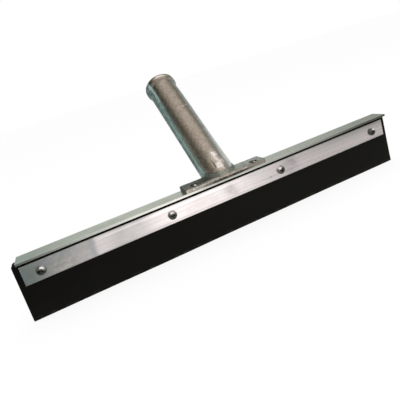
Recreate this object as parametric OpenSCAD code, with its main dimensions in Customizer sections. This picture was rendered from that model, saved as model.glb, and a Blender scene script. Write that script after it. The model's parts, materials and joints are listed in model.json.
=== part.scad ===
// Floor squeegee head. A rubber blade is clamped between the back leg of an aluminium angle
// and a flat front strip by four screws. A cast handle socket is riveted on the angle's top leg.
// X runs along the blade, -Y is the strip's side, +Z is up.
// The origin is the middle of the blade's working edge, which meets the floor.

/* [Rubber blade] */
// Height of the blade, working edge to hidden top edge
blade_h = 62; // [50:0.5:90]
// Thickness of the blade
blade_t = 8; // [6:0.5:12]
// How far the blade stands out past each end of the metal
blade_over = 6; // [2:0.5:15]
// Rounding of the blade's two top corners
blade_corner_r = 3; // [1:0.5:8]

/* [Angle frame] */
// Length of the angle and of the strip
frame_len = 450; // [300:1:900]
// Wall of the angle
angle_t = 2.5; // [2:0.1:4]
// Depth of the top leg, front edge to back face
top_leg = 21; // [19:0.5:30]
// Space between the blade's top edge and the top leg
blade_gap = 1; // [0.9:0.1:3]
// Fillet in the angle's inner corner
angle_fillet_r = 0.8; // [0.3:0.1:0.8]
// Rounding of the drawn metal's long edges
edge_r = 0.4; // [0.1:0.05:0.6]

/* [Clamp strip] */
// Height of the strip
strip_h = 20; // [16:0.5:26]
// Thickness of the strip
strip_t = 2.5; // [2:0.1:4]
// Open space between the strip's top edge and the top leg
strip_gap = 4.8; // [1:0.1:8]
// How far the strip stops short of each end of the angle
strip_inset = 0.3; // [0:0.1:5]

/* [Clamp screws] */
// Number of screws along the strip
screw_count = 4; // [2:1:6]
// Thread diameter of a screw
screw_d = 5; // [4:0.5:5.5]
// From the end of the angle to the first screw
screw_end = 18; // [12:0.5:40]
// How far the screws lie below the strip's middle line
screw_drop = 0.5; // [0:0.1:1.5]
// Clearance round a screw in the strip, blade and angle
screw_clear = 0.25; // [0.1:0.05:0.5]
// Length of thread standing out of the nut
screw_proud = 0.8; // [0.4:0.1:4]
// Diameter of the pan head
head_d = 9.5; // [8.5:0.1:11]
// Height of the pan head
head_h = 3.6; // [3:0.1:4.5]
// Radius of the head's domed top
head_dome_r = 8; // [6.5:0.1:12]
// Width of a wing of the cross recess
recess_w = 1.3; // [0.8:0.1:1.6]
// Length of the cross recess, tip to tip
recess_len = 5; // [3:0.1:6]
// Depth of the cross recess
recess_depth = 2; // [1:0.1:2.4]

/* [Washers and nuts] */
// Outside diameter of the plain washer
washer_d = 10; // [9:0.1:12]
// Thickness of the plain washer
washer_t = 1; // [0.8:0.1:1.6]
// Clearance round the screw in the plain washer
washer_clear = 0.15; // [0.1:0.05:0.4]
// Outside diameter of the spring washer
spring_d = 9; // [8.5:0.1:10]
// Thickness of the flattened spring washer
spring_t = 1.2; // [1:0.1:1.6]
// Cut through the spring washer
spring_slot = 0.8; // [0.4:0.1:1.5]
// Lean of that cut
spring_slot_lean = 20; // [0:1:35]
// Clearance round the screw in the spring washer
spring_clear = 0.1; // [0.05:0.05:0.3]
// Width of the nut across its flats
nut_af = 8; // [7.5:0.1:10]
// Height of the nut
nut_h = 4; // [3.5:0.1:5]
// Clearance between the nut and the thread
nut_clear = 0.05; // [0.02:0.01:0.1]

/* [Socket plate] */
// Length of the cast base plate
plate_len = 99.5; // [90:0.5:140]
// Thickness of the base plate
plate_t = 5; // [4:0.1:8]
// How far the plate's front stands behind the angle's front edge
plate_setback = 0.6; // [0.2:0.1:1.5]
// Rounding of the plate's corners, seen from above
plate_corner_r = 1.6; // [1.5:0.1:4]
// Bevel round the plate's top edge
plate_bevel = 1; // [0.4:0.1:1.4]

/* [Socket tube] */
// Lean of the tube, back from upright
lean = 50.5; // [35:0.5:55]
// Length of the tube's axis, from the plate's top to the mouth
tube_len = 165; // [140:1:220]
// Outside diameter of the tube at the plate
tube_base_d = 38; // [36:0.1:46]
// Outside diameter of the tube below the rim
tube_top_d = 38.6; // [36:0.1:46]
// From the plate's front edge back to the tube's front wall
tube_in = 0.6; // [0:0.1:4]
// Height of the fillet between tube and plate
skirt_r = 3; // [2:0.5:6]
// How far the rim bead stands out from the tube
bead_proud = 2.2; // [1:0.1:4]
// Length of the rim bead
bead_len = 6; // [4:0.5:12]
// Length of the run from the tube out to the bead
bead_run = 4; // [2:0.5:8]
// Rounding of the rim's outer edge
bead_round = 1.6; // [0.5:0.1:2]
// Diameter of the hole for the handle
bore_d = 28.6; // [22:0.1:30]
// From the plate's top up the axis to the floor of that hole
bore_floor = 20; // [16:0.5:60]
// Bevel at the mouth of the hole
bore_bevel = 1.2; // [0.5:0.1:2]

/* [Rivets] */
// From the plate's end to a rivet
rivet_end = 13; // [10:0.5:15]
// From the plate's front edge to the rivets
rivet_in = 5.2; // [5:0.1:6]
// Shank diameter of a rivet
rivet_d = 4.8; // [4:0.1:5]
// Clearance round a rivet in its holes
rivet_clear = 0.05; // [0.02:0.01:0.1]
// Diameter of the domed rivet head
rivet_head_d = 6.6; // [6:0.1:7]
// Height of the domed rivet head
rivet_head_h = 1.7; // [1.2:0.1:2.2]
// Diameter of the flush head under the top leg
rivet_flush_d = 7; // [6:0.1:8]
// Height of the flush head
rivet_flush_h = 1.4; // [1:0.1:1.8]
// Diameter of the recess round a rivet head
pocket_d = 7.8; // [7.2:0.1:8]
// Depth of that recess
pocket_depth = 1.6; // [1:0.1:2.5]

/* [Hidden] */
$fn = 64;
HULL_FN = 32;
CORNER_STEPS = 4;
BEAD_STEPS = 8;
SKIRT_STEPS = 3;
CUT = 1;          // how far a cutter runs past the face that it cuts

AHEAD = [1, 0];
BEHIND = [-1, 0];
UP = [0, 1];
DOWN = [0, -1];

blade_len = frame_len + 2 * blade_over;
blade_front = -blade_t / 2;
blade_back = blade_t / 2;
top_under = blade_h + blade_gap;
top_face = top_under + angle_t;
leg_back = blade_back + angle_t;
top_front = leg_back - top_leg;
strip_len = frame_len - 2 * strip_inset;
strip_front = blade_front - strip_t;
strip_top = top_under - strip_gap;
strip_low = strip_top - strip_h;
leg_low = strip_low;

screw_z = strip_low + strip_h / 2 - screw_drop;
screw_pitch = (frame_len - 2 * screw_end) / (screw_count - 1);
screw_hole_d = screw_d + 2 * screw_clear;
grip = leg_back - strip_front;
stack_t = washer_t + spring_t;
screw_len = grip + stack_t + nut_h + screw_proud;
nut_corner_r = nut_af / sqrt(3);
nut_bevel = (nut_corner_r - nut_af / 2) * tan(30);

plate_front = top_front + plate_setback;
plate_depth = leg_back - plate_front;
plate_top = top_face + plate_t;
tube_axis_y = plate_front + tube_in + tube_base_d / 2 / cos(lean);
tube_reach_low = tube_base_d / 2 * tan(lean) + plate_t / cos(lean) + CUT;
bead_r = tube_top_d / 2 + bead_proud;
bore_depth = tube_len - bore_floor;
skirt_slice_t = skirt_r / 300;   // thickness of the slices that the skirt is blended between
skirt_sink = skirt_r / 30;       // how far those slices lie under the tube's surface
far = plate_len + 2 * tube_len;  // a reach past the whole socket

rivet_y = plate_front + rivet_in;
rivet_seat = plate_top - pocket_depth;

screws = [for (i = [1 : screw_count]) i];
rivets = [1, 2];
function numbered(name, list) = [for (i = list) str(name, "_", i)];

function screw_x(i) = (i - 1) * screw_pitch - frame_len / 2 + screw_end;
function rivet_x(i) = (i - 1.5) * (plate_len - 2 * rivet_end);

// A rounded right-angled corner at p, between the edges that leave p along a and along b.
function corner(p, a, b, r) = [
    for (i = [0 : CORNER_STEPS])
        let (turn = 90 * i / CORNER_STEPS)
        p + r * (a + b - cos(turn) * b - sin(turn) * a)
];

// Stands a profile drawn across the blade (Y, Z) up and draws it out along X.
module drawn(len) {
    translate([-len / 2, 0, 0])
        rotate([90, 0, 90])
            linear_extrude(len)
                children();
}

// Turns a piece that is modelled along +Z so that it points back, with its foot at y.
module facing_back(x, y) {
    translate([x, y, screw_z])
        rotate([-90, 0, 0])
            children();
}

// Holes for all the screws, through whatever lies between y and y + depth.
module screw_holes(y, depth) {
    for (i = screws)
        facing_back(screw_x(i), y - CUT)
            cylinder(d = screw_hole_d, h = depth + 2 * CUT);
}

module rubber_blade() {
    outline = concat(
        [[-blade_len / 2, 0], [blade_len / 2, 0]],
        corner([blade_len / 2, blade_h], DOWN, BEHIND, blade_corner_r),
        corner([-blade_len / 2, blade_h], AHEAD, DOWN, blade_corner_r)
    );
    color([0.07, 0.07, 0.065])
        difference() {
            rotate([90, 0, 0])
                linear_extrude(blade_t, center = true)
                    polygon(outline);
            screw_holes(blade_front, blade_t);
        }
}

module angle_frame() {
    outline = concat(
        corner([top_front, top_face], AHEAD, DOWN, edge_r),
        corner([top_front, top_under], UP, AHEAD, edge_r),
        corner([blade_back, top_under], BEHIND, DOWN, angle_fillet_r),
        corner([blade_back, leg_low], UP, AHEAD, edge_r),
        corner([leg_back, leg_low], BEHIND, UP, edge_r),
        corner([leg_back, top_face], DOWN, BEHIND, edge_r)
    );
    color([0.66, 0.69, 0.66])
        difference() {
            drawn(frame_len)
                polygon(outline);
            screw_holes(blade_back, angle_t);
            for (i = rivets)
                translate([rivet_x(i), rivet_y, 0])
                    rivet_body(rivet_clear, CUT);
        }
}

module clamp_strip() {
    outline = concat(
        corner([strip_front, strip_top], AHEAD, DOWN, edge_r),
        corner([strip_front, strip_low], UP, AHEAD, edge_r),
        corner([blade_front, strip_low], BEHIND, UP, edge_r),
        corner([blade_front, strip_top], DOWN, BEHIND, edge_r)
    );
    color([0.8, 0.78, 0.77])
        difference() {
            drawn(strip_len)
                polygon(outline);
            screw_holes(strip_front, strip_t);
        }
}

// The casting's flat foot, with rounded corners and a bevel round its top edge.
module socket_plate() {
    inset = plate_corner_r - plate_bevel;
    hull()
        for (x = [-1, 1], y = [plate_front + plate_corner_r, leg_back - plate_corner_r])
            translate([x * (plate_len / 2 - plate_corner_r), y, top_face]) {
                cylinder(r = plate_corner_r, h = plate_t - plate_bevel, $fn = HULL_FN);
                cylinder(r = inset, h = plate_t, $fn = HULL_FN);
            }
}

// A level slice of the leaning tube, h above the plate and wider than the tube by the fillet.
module skirt_slice(h) {
    grow = skirt_r - sqrt(skirt_r ^ 2 - (skirt_r - h) ^ 2);
    translate([0, tube_axis_y + h * tan(lean), plate_top + h])
        scale([1, 1 / cos(lean), 1])
            cylinder(r = tube_base_d / 2 + grow - skirt_sink, h = skirt_slice_t, $fn = HULL_FN);
}

// The fillet where the tube rises from the plate, over the plate only.
module socket_skirt() {
    step = skirt_r / SKIRT_STEPS;
    intersection() {
        for (i = [0 : SKIRT_STEPS - 1])
            hull() {
                skirt_slice(i * step);
                skirt_slice((i + 1) * step);
            }
        translate([-far / 2, plate_front, top_face])
            cube([far, plate_depth, far]);
    }
}

// The outside of the tube with its rim bead, turned about the handle's axis.
module tube_outside() {
    bead_foot = tube_len - bead_len;
    run_foot = bead_foot - bead_run;
    profile = concat(
        [[0, -tube_reach_low], [tube_base_d / 2, -tube_reach_low], [tube_base_d / 2, 0]],
        [
            for (i = [0 : BEAD_STEPS])
                let (part = i / BEAD_STEPS)
                [
                    tube_top_d / 2 + bead_proud * (1 - cos(180 * part)) / 2,
                    run_foot + bead_run * part
                ]
        ],
        corner([bead_r, tube_len], DOWN, BEHIND, bead_round),
        [[0, tube_len]]
    );
    rotate_extrude()
        polygon(profile);
}

// Puts a piece that is modelled along the handle's axis at its lean, with its foot on the plate.
module along_handle() {
    translate([0, tube_axis_y, plate_top])
        rotate([-lean, 0, 0])
            children();
}

module handle_socket() {
    color([0.62, 0.6, 0.57])
        difference() {
            union() {
                socket_plate();
                socket_skirt();
                intersection() {
                    along_handle()
                        tube_outside();
                    translate([-far / 2, plate_front, top_face])
                        cube(far);
                }
            }
            along_handle() {
                translate([0, 0, bore_floor])
                    cylinder(d = bore_d, h = bore_depth + CUT);
                translate([0, 0, tube_len - bore_bevel])
                    cylinder(d1 = bore_d, d2 = bore_d + 4 * bore_bevel, h = 2 * bore_bevel);
            }
            for (i = rivets)
                translate([rivet_x(i), rivet_y, 0]) {
                    rivet_body(rivet_clear, CUT);
                    translate([0, 0, rivet_seat])
                        cylinder(d = pocket_d, h = pocket_depth + CUT);
                }
        }
}

// A screw with a domed pan head and a cross recess, driven in from the strip's side.
module clamp_screw(i) {
    color([0.6, 0.61, 0.58])
        facing_back(screw_x(i), strip_front) {
            cylinder(d = screw_d, h = screw_len);
            difference() {
                intersection() {
                    translate([0, 0, -head_h])
                        cylinder(d = head_d, h = head_h);
                    translate([0, 0, head_dome_r - head_h])
                        sphere(r = head_dome_r);
                }
                for (turn = [0, 90])
                    rotate([0, 0, turn])
                        translate([-recess_len / 2, -recess_w / 2, -head_h - CUT])
                            cube([recess_len, recess_w, recess_depth + CUT]);
            }
        }
}

module plain_washer(i) {
    color([0.7, 0.7, 0.68])
        facing_back(screw_x(i), leg_back)
            difference() {
                cylinder(d = washer_d, h = washer_t);
                translate([0, 0, -CUT])
                    cylinder(d = screw_d + 2 * washer_clear, h = washer_t + 2 * CUT);
            }
}

// The split washer as the tightened nut flattens it.
module spring_washer(i) {
    color([0.55, 0.55, 0.54])
        facing_back(screw_x(i), leg_back + washer_t)
            difference() {
                cylinder(d = spring_d, h = spring_t);
                translate([0, 0, -CUT])
                    cylinder(d = screw_d + 2 * spring_clear, h = spring_t + 2 * CUT);
                translate([spring_d / 2, 0, spring_t / 2])
                    rotate([spring_slot_lean, 0, 0])
                        cube([spring_d, spring_slot, spring_t + 2 * CUT], center = true);
            }
}

module clamp_nut(i) {
    profile = [
        [0, 0],
        [nut_af / 2, 0],
        [nut_corner_r, nut_bevel],
        [nut_corner_r, nut_h - nut_bevel],
        [nut_af / 2, nut_h],
        [0, nut_h]
    ];
    color([0.62, 0.62, 0.6])
        facing_back(screw_x(i), leg_back + stack_t)
            difference() {
                intersection() {
                    cylinder(r = nut_corner_r, h = nut_h, $fn = 6);
                    rotate_extrude()
                        polygon(profile);
                }
                translate([0, 0, -CUT])
                    cylinder(d = screw_d + 2 * nut_clear, h = nut_h + 2 * CUT);
            }
}

// The rivet below its domed head: a straight shank that spreads into a flush head under the
// top leg. As a cutter it is wider by grow and longer by past.
module rivet_body(grow, past) {
    r = rivet_d / 2 + grow;
    flush_r = rivet_flush_d / 2 + grow;
    slope = (flush_r - r) / rivet_flush_h;
    translate([0, 0, top_under])
        cylinder(r = r, h = rivet_seat - top_under + past);
    translate([0, 0, top_under - past])
        cylinder(r1 = flush_r + slope * past, r2 = r, h = rivet_flush_h + past);
}

module socket_rivet(i) {
    head_r = rivet_head_d / 2;
    dome_r = (head_r ^ 2 + rivet_head_h ^ 2) / (2 * rivet_head_h);
    color([0.72, 0.72, 0.7])
        translate([rivet_x(i), rivet_y, 0]) {
            rivet_body(0, 0);
            translate([0, 0, rivet_seat])
                intersection() {
                    cylinder(r = head_r + CUT, h = rivet_head_h);
                    translate([0, 0, rivet_head_h - dome_r])
                        sphere(r = dome_r);
                }
        }
}

rubber_blade();
angle_frame();
clamp_strip();
handle_socket();
for (i = screws) {
    clamp_screw(i);
    plain_washer(i);
    spring_washer(i);
    clamp_nut(i);
}
for (i = rivets)
    socket_rivet(i);
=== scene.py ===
# %% [markdown]
# # A floor squeegee head
# A squeegee head is a thick rubber blade clamped between two pieces of aluminium: an angle that
# lies over its top and back, and a flat strip in front, pulled together by four screws. A cast
# socket riveted on top leans back and takes the handle. The solids come ready from the frame.
# This lesson gives the pieces that show most a finer surface, and every piece its finish.

# %% Load the frame
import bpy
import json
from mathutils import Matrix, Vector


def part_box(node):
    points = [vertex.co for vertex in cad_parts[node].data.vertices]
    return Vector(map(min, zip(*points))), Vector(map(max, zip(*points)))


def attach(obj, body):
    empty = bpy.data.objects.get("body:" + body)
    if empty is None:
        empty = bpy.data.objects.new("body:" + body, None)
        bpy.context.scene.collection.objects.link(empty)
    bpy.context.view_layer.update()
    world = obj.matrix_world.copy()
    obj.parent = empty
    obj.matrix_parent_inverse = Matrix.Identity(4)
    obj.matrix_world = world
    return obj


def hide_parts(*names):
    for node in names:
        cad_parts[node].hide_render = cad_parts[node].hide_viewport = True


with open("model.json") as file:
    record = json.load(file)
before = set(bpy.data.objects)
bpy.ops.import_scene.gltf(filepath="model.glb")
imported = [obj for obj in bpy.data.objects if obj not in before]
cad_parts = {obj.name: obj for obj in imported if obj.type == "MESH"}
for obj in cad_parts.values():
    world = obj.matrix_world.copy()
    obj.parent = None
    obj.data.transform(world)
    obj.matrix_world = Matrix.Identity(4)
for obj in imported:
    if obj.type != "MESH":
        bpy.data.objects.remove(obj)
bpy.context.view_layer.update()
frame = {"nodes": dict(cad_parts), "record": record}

import json
import math
from functools import cached_property

import bpy
import numpy as np
from mathutils import Matrix, Vector

MM = 0.001
scene = bpy.context.scene


def box_of(node):
    """The low and the high corner of a node's box, in millimetres."""
    return np.divide(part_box(node), MM)


# %% [markdown]
# ## The camera
# The blade stands level, yet runs uphill across the picture: the camera is held close, a little
# above the blade, and rolled. The part could be turned instead, but its solids have to stay where
# the frame has them. Place, roll and focal length come from the metal's straight edges. A small
# shift moves the picture without turning the view, which keeps the perspective.

# %% Camera
def put(name, data):
    """A new object in the scene, at the origin."""
    made = bpy.data.objects.new(name, data)
    scene.collection.objects.link(made)
    return made


def aimed(middle, towards, front):
    """The place and turn of a thing whose front axis points at another place."""
    turn = (Vector(towards) - Vector(middle)).to_track_quat(front, "Y")
    return Matrix.Translation(middle) @ turn.to_matrix().to_4x4()


eye = Vector((-145.09, -408.76, 191.11)) * MM
aim = Vector((-13.7, 0.0, 92.09)) * MM
roll = math.radians(-16.83)
optics = bpy.data.cameras.new("photo_camera")
optics.sensor_width = 36.0
optics.lens = 36.17
optics.shift_x = -0.0121
optics.shift_y = -0.1055
optics.clip_start = 0.01
optics.clip_end = 50.0
camera = put("photo_camera", optics)
camera.matrix_world = aimed(eye, aim, "-Z") @ Matrix.Rotation(roll, 4, "Z")
scene.camera = camera
scene.view_settings.view_transform = "Standard"
print("camera is", round((aim - eye).length / MM), "mm from the blade")

# %% [markdown]
# ## Writing finishes as sums
# A finish is a tree of nodes. Wiring it by hand hides what it says, so two small classes let it be
# written as sums: a `Wire` is the output of a node, and adding or multiplying wires makes the Math
# nodes. A `Recipe` is the tree that they are made in, with one method for any other node.

# %% Wires and recipes
class Wire:
    """An output of a node. A sum of wires and numbers adds one Math node for each sign."""

    def __init__(self, recipe, socket):
        self.recipe = recipe
        self.socket = socket

    def sum(self, operation, first, second):
        return self.recipe.node("Math", {"operation": operation}, {0: first, 1: second})

    def __add__(self, other):
        return self.sum("ADD", self, other)

    def __sub__(self, other):
        return self.sum("SUBTRACT", self, other)

    def __rsub__(self, other):
        return self.sum("SUBTRACT", other, self)

    def __mul__(self, other):
        return self.sum("MULTIPLY", self, other)

    __radd__ = __add__
    __rmul__ = __mul__


class Recipe:
    """A node tree that is being written."""

    def __init__(self, tree):
        self.tree = tree

    def node(self, kind, settings=None, sockets=None, out=0):
        """Adds a shader node: its settings are set first, then its sockets take values or wires."""
        made = self.tree.nodes.new("ShaderNode" + kind)
        for key, value in (settings or {}).items():
            setattr(made, key, value)
        for key, value in (sockets or {}).items():
            if isinstance(value, Wire):
                self.tree.links.new(value.socket, made.inputs[key])
            else:
                made.inputs[key].default_value = value
        return Wire(self, made.outputs[out]) if made.outputs else None

    @cached_property
    def place(self):
        """The place on the piece, in metres from the origin."""
        return self.node("TexCoord", out="Object")

    def axes(self):
        """The x, y and z of the place, one wire each."""
        parts = self.node("SeparateXYZ", None, {0: self.place}).socket.node
        return [Wire(self, out) for out in parts.outputs]

    def step(self, value, low, high):
        """0 below low and 1 above high, with a smooth rise between them."""
        return self.node("MapRange", {"interpolation_type": "SMOOTHSTEP"},
                         {0: value, 1: low, 2: high, 3: 0.0, 4: 1.0})

    def blend(self, share, first, second):
        """The first colour, and as much of the second as share says."""
        first, second = [c if isinstance(c, Wire) else (*c, 1.0) for c in (first, second)]
        return self.node("Mix", {"data_type": "RGBA"}, {0: share, 6: first, 7: second}, out=2)


# %% [markdown]
# A `Finish` is the recipe of one material. What is the same all over is set on the shader, and only
# what changes is wired. Patterns read Object coordinates, which are metres in the frame, so a noise
# scale of 1000 is a grain of a millimetre. Colours are laid in coats, as paint is: each coat covers
# what lies below it by its share.

# %% Finishes
class Finish(Recipe):
    """A material with constants on its shader, and patterns placed by Object coordinates."""

    def __init__(self, name, constants):
        self.material = bpy.data.materials.new(name)
        self.material.use_nodes = True
        super().__init__(self.material.node_tree)
        self.shader = self.tree.nodes["Principled BSDF"]
        for key, value in constants.items():
            self.shader.inputs[key].default_value = value

    def noise(self, scale, stretch=(1, 1, 1), detail=3.0, rough=0.55):
        """Cloudy noise round 0.5, with the place stretched first."""
        place = self.node("VectorMath", {"operation": "MULTIPLY"}, {0: self.place, 1: stretch})
        return self.node("TexNoise", None,
                         {"Vector": place, "Scale": scale, "Detail": detail, "Roughness": rough})

    def bump(self, height, depth):
        """A normal bent by a height between 0 and 1 that stands for depth in metres."""
        return self.node("Bump", None, {"Strength": 1.0, "Distance": depth, "Height": height})

    def mark(self, name):
        """A number that the points of the piece carry under this name."""
        return self.node("Attribute", {"attribute_name": name}, out="Fac")

    def rise(self, value, low, high):
        """A step between two places in millimetres."""
        return self.step(value, low * MM, high * MM)

    def band(self, value, rise, fall):
        """1 between two slopes, each given by its start and end in millimetres."""
        return self.rise(value, *rise) * (1 - self.rise(value, *fall))

    def near(self, point, inner, outer):
        """1 within inner of a point, falling to 0 at outer, all in millimetres."""
        sockets = {0: self.place, 1: tuple(c * MM for c in point)}
        away = self.node("VectorMath", {"operation": "DISTANCE"}, sockets, "Value")
        return 1 - self.rise(away, inner, outer)

    def coats(self, base, *laid):
        """A base colour under coats, each a pair of its share and its colour."""
        for share, colour in laid:
            base = self.blend(share, base, colour)
        return base

    def lay(self, **wires):
        """Wires patterns to the shader: base_color, metallic, roughness or normal."""
        for key, wire in wires.items():
            self.tree.links.new(wire.socket, self.shader.inputs[key.replace("_", " ").title()])
        print("finish", self.material.name, "has", len(self.tree.nodes), "nodes")
        return self.material


def dress(node, material):
    """Gives a frame's node its finish."""
    for slot in frame["nodes"][node].material_slots:
        slot.link = "OBJECT"
        slot.material = material


# %% [markdown]
# ## Surfaces from arrays
# The new pieces are closed skins. Each is a grid of points: the rows follow a profile and the
# columns go round it. `skin` joins the grid with four-sided faces, closes both ends, and
# `mesh_from` turns the faces round if they point inwards, which the sign of the volume tells.

# %% Grids and skins
def quads(rows, columns, round_trip):
    """The faces of a grid: each joins a point, the next in its row, and the two above them."""
    low = np.arange(rows - 1)[:, None] * columns
    here = np.arange(columns if round_trip else columns - 1)[None, :]
    there = (here + 1) % columns
    corners = [low + here, low + there, low + columns + there, low + columns + here]
    return np.stack(corners, -1).reshape(-1, 4)


def skin(grid):
    """Points and faces of a tube of rows, closed at both ends by a fan to the middle of the row."""
    rows, columns = grid.shape[:2]
    here = np.arange(columns)
    there = (here + 1) % columns
    last_row = (rows - 1) * columns
    first_middle = np.full(columns, rows * columns)
    points = np.concatenate([grid.reshape(-1, 3), grid[[0]].mean(1), grid[[-1]].mean(1)])
    fans = [np.stack([there, here, first_middle], -1),
            np.stack([last_row + here, last_row + there, first_middle + 1], -1)]
    return points, [quads(rows, columns, True), np.concatenate(fans)]


def volume(points, sheets):
    """A sixth of the sum of each triangle's box product: below zero if the faces point inwards."""
    total = 0.0
    for sheet in sheets:
        corners = points[sheet]
        total += (corners[:, :1] * np.cross(corners[:, 1:-1], corners[:, 2:])).sum() / 6
    return total


# %% [markdown]
# A mesh can be filled face by face, which is slow, or at once from flat lists of numbers, as here.
# `make` puts one or more skins into one object. It stays at the origin, with its place in its
# points, so that patterns on Object coordinates lie right. Faces are shaded smooth, and edges
# sharper than a limit stay crisp. Points may carry marks, which a finish reads.

# %% Making a piece
def mesh_from(name, skins):
    """One mesh of all skins, each with its faces pointing outwards."""
    points, sheets, start = [], [], 0
    for skin_points, skin_sheets in skins:
        turn = 1 if volume(skin_points, skin_sheets) > 0 else -1
        points.append(skin_points)
        sheets += [start + sheet[:, ::turn] for sheet in skin_sheets]
        start += len(skin_points)
    corners = np.concatenate([sheet.ravel() for sheet in sheets]).astype(np.int32)
    sizes = np.concatenate([np.full(len(sheet), sheet.shape[1]) for sheet in sheets])
    mesh = bpy.data.meshes.new(name)
    mesh.vertices.add(start)
    mesh.vertices.foreach_set("co", np.concatenate(points).astype(np.float32).ravel())
    mesh.loops.add(len(corners))
    mesh.loops.foreach_set("vertex_index", corners)
    mesh.polygons.add(len(sizes))
    mesh.polygons.foreach_set("loop_start", (np.cumsum(sizes) - sizes).astype(np.int32))
    mesh.update(calc_edges=True)
    return mesh


def make(name, skins, stands_for, material, crisp=40.0, marks=None):
    """Joins the skins, rides on the one body, and takes the place of the nodes it stands for."""
    mesh = mesh_from(name, skins)
    for mark, values in (marks or {}).items():
        mesh.attributes.new(mark, "FLOAT", "POINT").data.foreach_set("value", values)
    mesh.shade_smooth()
    mesh.set_sharp_from_angle(angle=math.radians(crisp))
    mesh.materials.append(material)
    piece = put(name, mesh)
    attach(piece, "root")
    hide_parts(*stands_for)
    print(name, "has", len(mesh.polygons), "faces")


# %% [markdown]
# ## Rubber
# The blade is black rubber, pressed as a sheet and cut to length. One flat black would do from
# afar. Close by, the press has left a grain, a trace of floor dust greys the face, most of all to
# the right, and the lip is scuffed. These are noise, and a low specular level keeps rubber dark.

# %% Rubber finish
rubber = Finish("black_rubber", {"Specular IOR Level": 0.1})
x, _, z = rubber.axes()
grain = rubber.noise(2600, detail=2.0)
dust = rubber.step(rubber.noise(34, (1, 1, 3), 5.0, 0.6), 0.45, 0.75)
dusty = 0.5 * dust + 0.5 * rubber.rise(x, -220, 200)
scuff = (1 - rubber.rise(z, 0, 5)) * rubber.step(rubber.noise(420, (0.3, 1, 1)), 0.45, 0.65)
black_rubber = rubber.lay(
    base_color=rubber.coats(
        (0.0014, 0.0012, 0.0002),
        (dusty, (0.0055, 0.0051, 0.003)),
        (0.6 * scuff, (0.035, 0.034, 0.031))),
    roughness=0.62 + 0.16 * dust + 0.1 * grain,
    normal=rubber.bump(grain, 0.05 * MM))

# %% [markdown]
# ## The rubber blade
# A slab with rounded edges could be a cube with a bevel, but the two top corners have a larger
# round, and rubber that has been worked is never quite straight. So the blade is a stack of level
# loops from the lip to the top, each a rectangle with rounded corners.

# %% Level loops
def loop_round(along, corner):
    """Once round a rectangle: four straight runs, each with the quarter turn after it. The rows are
    the side in x and y, from -1 to 1, and the direction out in x and y."""
    run = np.linspace(-1, 1, along)
    bend = np.linspace(0, math.pi / 2, corner)[1:-1]
    one, still = np.ones(along), np.zeros(along)
    runs = [(run, -one, still, -one), (one, run, one, still),
            (-run, one, still, one), (-one, -run, -one, still)]
    turns = [(1, -1), (1, 1), (-1, 1), (-1, -1)]
    parts = []
    for k, (side_x, side_y) in enumerate(turns):
        turn = bend + (k - 1) * math.pi / 2
        parts.append(np.stack(runs[k]))
        parts.append(np.stack([0 * turn + side_x, 0 * turn + side_y, np.cos(turn), np.sin(turn)]))
    return np.concatenate(parts, 1)


def held(value):
    """A number, held between 0 and 1."""
    return np.clip(value, 0, 1)


def round_off(gap, radius):
    """How far a rounded edge draws back at a distance gap from it: the radius less the arc's height."""
    inside = np.clip(radius - gap, 0, radius)
    return radius - np.sqrt(radius**2 - inside**2)


# %% [markdown]
# The loops are shorter where the top corners are round, and narrower where lip and top edge are.
# The lip has a slight wave.

# %% Rubber blade
def blade_surface(low, high, corner, edge):
    """Level loops: half sizes less the edge's round at lip and top, and less the top corner's round.
    The lip's wave is a sum of two sines along x, and fades out upwards."""
    half = (high - low) / 2
    tall = high[2] - low[2]
    arc = np.sin(np.linspace(0, math.pi / 2, 9))
    lip = edge * (1 - arc[::-1])
    face = np.linspace(edge, tall - corner, 44)
    shoulder = tall - corner + (corner - edge) * arc
    top = tall - edge + edge * arc
    up = np.concatenate([lip, face[1:], shoulder[1:], top[1:]])[:, None]
    side_x, side_y, out_x, out_y = loop_round(160, 6)
    long = half[0] - edge - round_off(tall - up, corner) - round_off(up, edge)
    thick = half[1] - 0.5 * edge - round_off(tall - up, edge) - round_off(up, edge)
    along = side_x * long + out_x * edge
    through = side_y * thick + out_y * 0.5 * edge
    free = held(1 - up / (0.6 * tall)) ** 2
    wave = 0.35 * np.sin(along / 52 + 0.7) + 0.2 * np.sin(along / 23 + 2.1)
    return np.stack([along, through + free * wave, up + 0 * along], -1) * MM


top_corner, pressed_edge = 3.0, 0.6
blade_skin = skin(blade_surface(*box_of("rubber_blade"), top_corner, pressed_edge))
make("rubber_blade_pressed", [blade_skin], ["rubber_blade"], black_rubber)

# %% [markdown]
# ## Drawn aluminium
# The angle is bent from drawn aluminium sheet: a satin grey with a cooler left end, faint lines
# along its length from the rolls, and cloudy spots of oxide. Its front edge is a lip over the
# strip, polished left of the middle and darker towards the ends; under the socket it carries a
# painted shade. A shader's anisotropy could draw the lines, but it can't be baked. So they are
# noise stretched a hundred times along X, in colour, in gloss and in the bump.

# %% Angle finish
satin = Finish("satin_aluminium", {"Metallic": 1.0})
x, y, z = satin.axes()
angle_low, angle_high = box_of("angle_frame")
lip_face, angle_top = angle_low[1], angle_high[2]

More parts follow.
